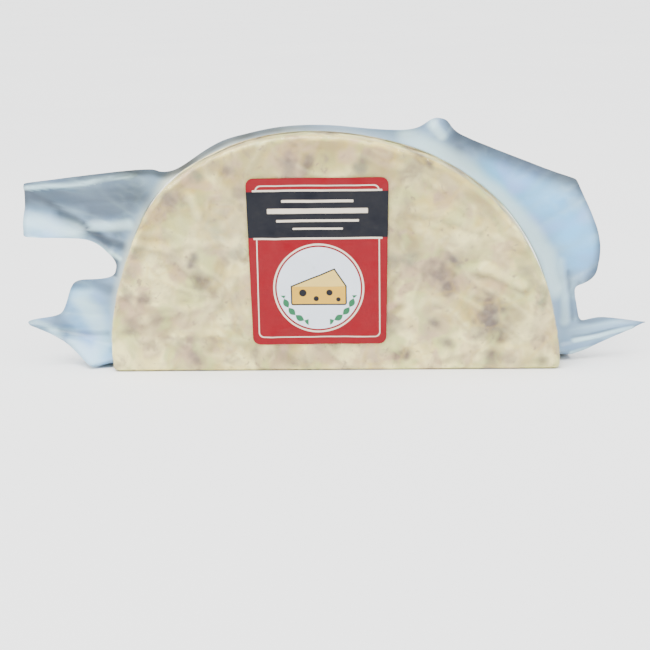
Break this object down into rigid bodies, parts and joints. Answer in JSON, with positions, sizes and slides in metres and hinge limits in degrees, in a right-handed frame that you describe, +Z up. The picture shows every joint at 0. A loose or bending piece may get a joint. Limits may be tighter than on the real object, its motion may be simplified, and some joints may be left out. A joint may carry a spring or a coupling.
{
  "type": "vacuum-packed half wheel of cheddar cheese",
  "caption": "Half wheel of mottled cheddar standing on its cut face, in a clear vacuum pouch with wide loose edges and a red sticker on its front.",
  "frame": {"origin": "middle of the cut face that the half wheel stands on", "axes": "+Z up from the cut face, the front with the sticker looks along -Y, +X to the right seen from the front"},
  "size_m": [0.3617, 0.0563, 0.1412],
  "materials": {
    "cheese": null,
    "film": "clear glossy pouch film, faintly blue-grey where its two layers lie on each other",
    "label": "glossy printed sticker, red with pale and dark fields"
  },
  "bodies": {
    "root": {"cheese": "cheese", "film_skirt": "film", "label": "label"}
  },
  "joints": []
}
